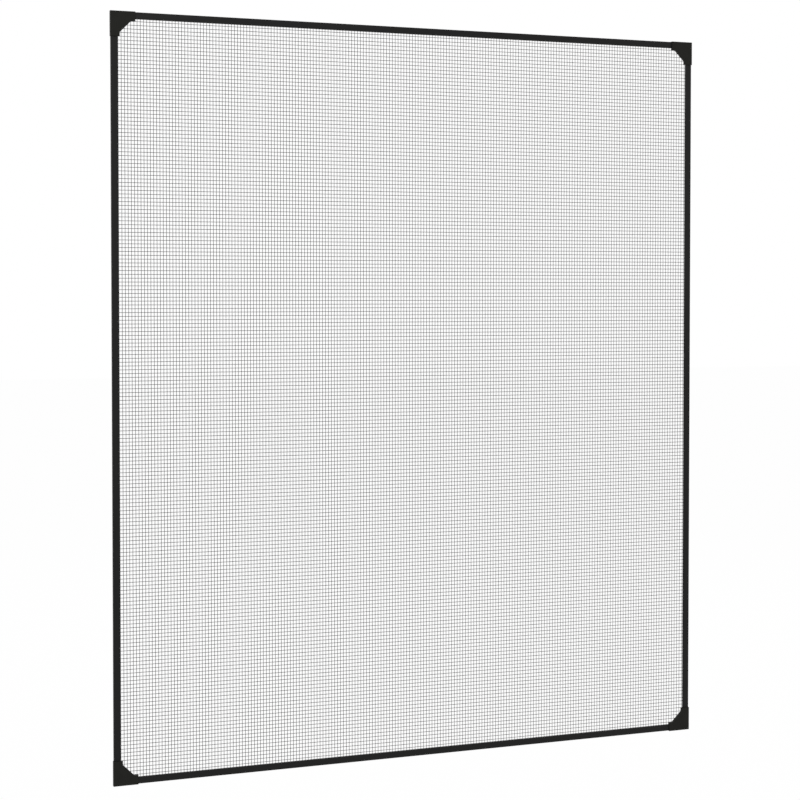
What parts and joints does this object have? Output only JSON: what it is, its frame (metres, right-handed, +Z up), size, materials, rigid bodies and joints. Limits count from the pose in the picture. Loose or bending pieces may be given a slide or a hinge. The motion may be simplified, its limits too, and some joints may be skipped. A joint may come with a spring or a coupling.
{
  "type": "window screen frame",
  "caption": "Slim rectangular frame with capped corners that carries a stretched see-through fly net, held to a window by magnet strips along its back.",
  "frame": {"origin": "middle of the whole screen's box", "axes": "+X to the right across the screen seen from its front, +Y from front to back towards the window, +Z up"},
  "size_m": [1.1, 0.0076, 1.3],
  "materials": {
    "rail_plastic": "extruded vinyl, matte near-black",
    "corner_plastic": "moulded plastic, fine matte texture, near-black",
    "magnet_strip": "flexible bonded ferrite, dark brown-grey",
    "spline_rubber": "soft foamed cord, black",
    "net_fabric": "coated glass-fibre yarn, charcoal"
  },
  "bodies": {
    "root": {"rail_top": "rail_plastic", "magnet_top": "magnet_strip", "spline_top": "spline_rubber", "rail_right": "rail_plastic", "magnet_right": "magnet_strip", "spline_right": "spline_rubber", "rail_bottom": "rail_plastic", "magnet_bottom": "magnet_strip", "spline_bottom": "spline_rubber", "rail_left": "rail_plastic", "magnet_left": "magnet_strip", "spline_left": "spline_rubber", "corner_top_right": "corner_plastic", "corner_bottom_right": "corner_plastic", "corner_bottom_left": "corner_plastic", "corner_top_left": "corner_plastic", "net": "net_fabric"}
  },
  "joints": []
}
